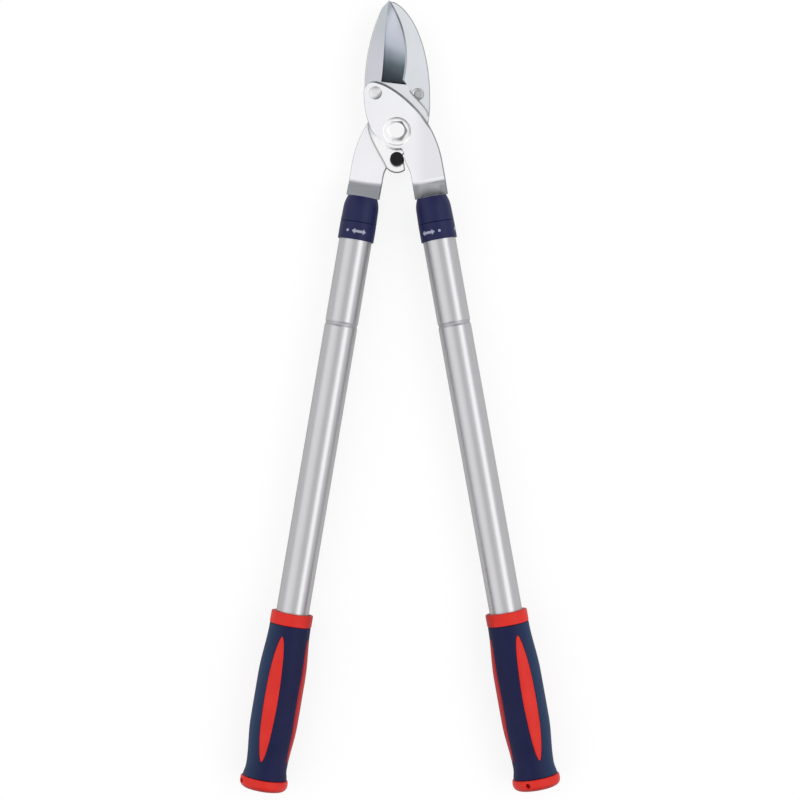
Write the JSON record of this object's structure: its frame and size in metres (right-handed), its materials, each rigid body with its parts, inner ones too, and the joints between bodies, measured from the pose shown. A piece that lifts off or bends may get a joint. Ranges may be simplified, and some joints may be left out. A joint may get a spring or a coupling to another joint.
{
  "type": "telescopic bypass lopper",
  "caption": "Bypass lopper with hook-and-blade jaws on a pivot bolt and telescoping twist-lock handles with two-colour grips.",
  "frame": {"origin": "on the pivot axis, at the end face of the pivot nut and bolt", "axes": "+Y from the grips to the tips of the jaws, +Z along the pivot axis towards the bolt head, +X towards the right-hand grip"},
  "size_m": [0.2822, 0.6954, 0.0422],
  "materials": {
    "blade_steel": "ground and hard-coated",
    "arm_steel": "polished",
    "bolt_steel": "zinc plated",
    "tube_metal": "satin",
    "navy_plastic": "satin moulded",
    "navy_rubber": "soft matt",
    "red_plastic": "satin moulded",
    "plug_plastic": "moulded",
    "black_rubber": "moulded"
  },
  "bodies": {
    "hook_side": {"hook_blade": "blade_steel", "back_arm": "arm_steel", "pivot_bolt": "bolt_steel", "pivot_nut": "bolt_steel", "head_washer": "bolt_steel", "nut_washer": "bolt_steel", "hook_rivet": "bolt_steel", "rubber_bumper": "black_rubber", "left_tang_socket": "plug_plastic", "left_tang_pin": "bolt_steel", "left_inner_tube": "tube_metal", "left_tube_end_plug": "plug_plastic"},
    "blade_side": {"cutting_blade": "blade_steel", "front_arm": "arm_steel", "blade_rivet": "bolt_steel", "right_tang_socket": "plug_plastic", "right_tang_pin": "bolt_steel", "right_inner_tube": "tube_metal", "right_tube_end_plug": "plug_plastic"},
    "left_handle": {"left_outer_tube": "tube_metal", "left_collar_ferrule": "navy_plastic", "left_lock_collet": "plug_plastic", "left_grip_core": "red_plastic", "left_grip_sleeve": "navy_rubber", "left_end_cap": "red_plastic"},
    "right_handle": {"right_outer_tube": "tube_metal", "right_collar_ferrule": "navy_plastic", "right_lock_collet": "plug_plastic", "right_grip_core": "red_plastic", "right_grip_sleeve": "navy_rubber", "right_end_cap": "red_plastic"},
    "left_lock": {"left_lock_collar": "navy_plastic"},
    "right_lock": {"right_lock_collar": "navy_plastic"}
  },
  "joints": [
    {"name": "cutting_pivot", "type": "hinge", "parent": "hook_side", "child": "blade_side", "pos_m": [0, 0, 0.0211], "axis": [0, 0, 1], "range_deg": [0, 60]},
    {"name": "left_telescope", "type": "slide", "parent": "hook_side", "child": "left_handle", "axis": [-0.1719, -0.9851, 0], "range_m": [0, 0.32]},
    {"name": "left_lock_twist", "type": "hinge", "parent": "left_handle", "child": "left_lock", "pos_m": [-0.03208, -0.06749, 0.0211], "axis": [-0.1719, -0.9851, 0], "range_deg": [0, 90]},
    {"name": "right_telescope", "type": "slide", "parent": "blade_side", "child": "right_handle", "axis": [0.1719, -0.9851, 0], "range_m": [0, 0.32]},
    {"name": "right_lock_twist", "type": "hinge", "parent": "right_handle", "child": "right_lock", "pos_m": [0.03208, -0.06749, 0.0211], "axis": [0.1719, -0.9851, 0], "range_deg": [0, 90]}
  ]
}
